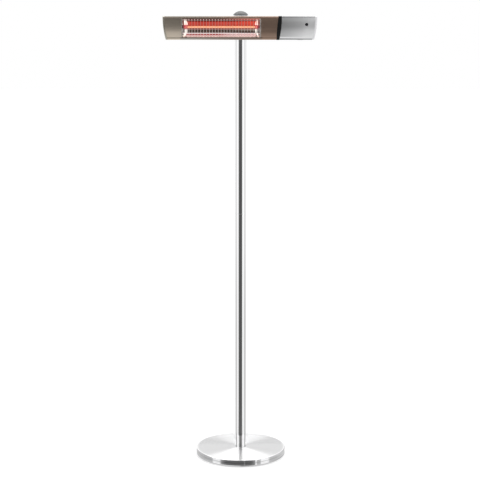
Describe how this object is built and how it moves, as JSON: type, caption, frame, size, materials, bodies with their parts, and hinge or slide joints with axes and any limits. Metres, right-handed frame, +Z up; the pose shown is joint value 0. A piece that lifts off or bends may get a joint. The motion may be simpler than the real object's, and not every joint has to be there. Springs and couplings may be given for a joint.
{
  "type": "infrared patio heater",
  "caption": "Free-standing infrared patio heater: weighted round base, tubular pole and a tilting horizontal head with a quartz lamp behind a wire guard.",
  "frame": {"origin": "on the floor, on the axis of the pole, under the middle of the base", "axes": "+Z up along the pole, -Y the way the heater radiates, +X to the right of someone who faces the heater"},
  "size_m": [0.6466, 0.4, 1.9762],
  "materials": {
    "base_steel": "radially brushed stainless, bright",
    "pole_steel": "polished stainless tube",
    "head_steel": "brushed stainless, warm grey",
    "frame_steel": "brushed stainless",
    "back_steel": "zinc-plated sheet",
    "bracket_steel": "grey powder coat",
    "zinc_steel": "zinc-plated",
    "black_steel": "blackened",
    "cast_iron": "rough, painted dark",
    "cast_alloy": "satin grey paint on a die casting",
    "grey_plastic": "satin mid grey",
    "cap_grey": "satin warm grey",
    "silver_plastic": "satin silver lacquer",
    "band_black": "satin black",
    "black_plastic": "fine texture",
    "dark_plastic": "fine texture",
    "rocker_black": "smooth",
    "rubber": "matt",
    "foam": "closed-cell foam",
    "nylon": "natural",
    "brass": "turned",
    "wire_chrome": "bright wire",
    "reflector_aluminium": "satin reflector sheet, heat-tinted",
    "quartz_red": "ruby quartz",
    "filament": "glowing",
    "ceramic": "unglazed steatite",
    "silicone": "silicone-glass sleeve",
    "smoked_lens": "smoked, smooth",
    "board_green": "solder mask",
    "component_dark": "moulded",
    "terminal_white": "moulded"
  },
  "bodies": {
    "stand": {"base_cover": "base_steel", "base_weight": "cast_iron", "base_foot_ring": "rubber", "base_foam_ring": "foam", "base_socket": "zinc_steel", "base_bolts": "zinc_steel", "base_washers": "zinc_steel", "base_collar": "pole_steel", "pole_lower": "pole_steel", "pole_upper": "pole_steel", "pole_joiner": "zinc_steel", "pole_hub": "cast_alloy", "hub_grub_screws": "black_steel", "hub_dome_cap": "grey_plastic", "tilt_bolt": "zinc_steel", "friction_washers": "nylon", "knob_washer": "zinc_steel"},
    "head": {"back_plate": "back_steel", "back_plate_screws": "zinc_steel", "board_components": "component_dark", "board_standoffs": "nylon", "bracket_bolts": "zinc_steel", "bracket_nuts": "zinc_steel", "bulkhead": "back_steel", "bulkhead_grommets": "rubber", "cable_gland": "black_plastic", "control_board": "board_green", "control_cover": "silver_plastic", "control_end_cap": "silver_plastic", "end_cap_screws": "zinc_steel", "front_shell": "head_steel", "gland_nut": "black_plastic", "guard_rods": "wire_chrome", "guard_wires": "wire_chrome", "head_bracket": "bracket_steel", "heat_shield": "back_steel", "holder_brackets": "back_steel", "ir_lens": "smoked_lens", "ir_module": "board_green", "lamp_caps": "ceramic", "lamp_filament": "filament", "lamp_holders": "ceramic", "lamp_lead_left": "silicone", "lamp_lead_right": "silicone", "lamp_tube": "quartz_red", "left_end_cap": "cap_grey", "reflector": "reflector_aluminium", "reflector_end_left": "reflector_aluminium", "reflector_end_right": "reflector_aluminium", "reflector_spacers": "ceramic", "service_plate": "dark_plastic", "service_screws": "black_steel", "switch_body": "black_plastic", "terminal_block": "terminal_white", "trim_band": "band_black", "window_frame": "frame_steel"},
    "tilt_knob": {"tilt_knob_grip": "black_plastic", "tilt_knob_insert": "brass"},
    "power_rocker": {"switch_rocker": "rocker_black"}
  },
  "joints": [
    {"name": "head_tilt", "type": "hinge", "parent": "stand", "child": "head", "pos_m": [0, -0.054, 1.9065], "axis": [1, 0, 0], "range_deg": [-15, 45]},
    {"name": "tilt_knob_turn", "type": "hinge", "parent": "stand", "child": "tilt_knob", "pos_m": [0.033, -0.054, 1.9065], "axis": [1, 0, 0], "range_deg": [0, 360]},
    {"name": "power_switch_rock", "type": "hinge", "parent": "head", "child": "power_rocker", "pos_m": [0.25, -0.118, 1.8596], "axis": [0, 1, 0], "range_deg": [-16, 0]}
  ]
}
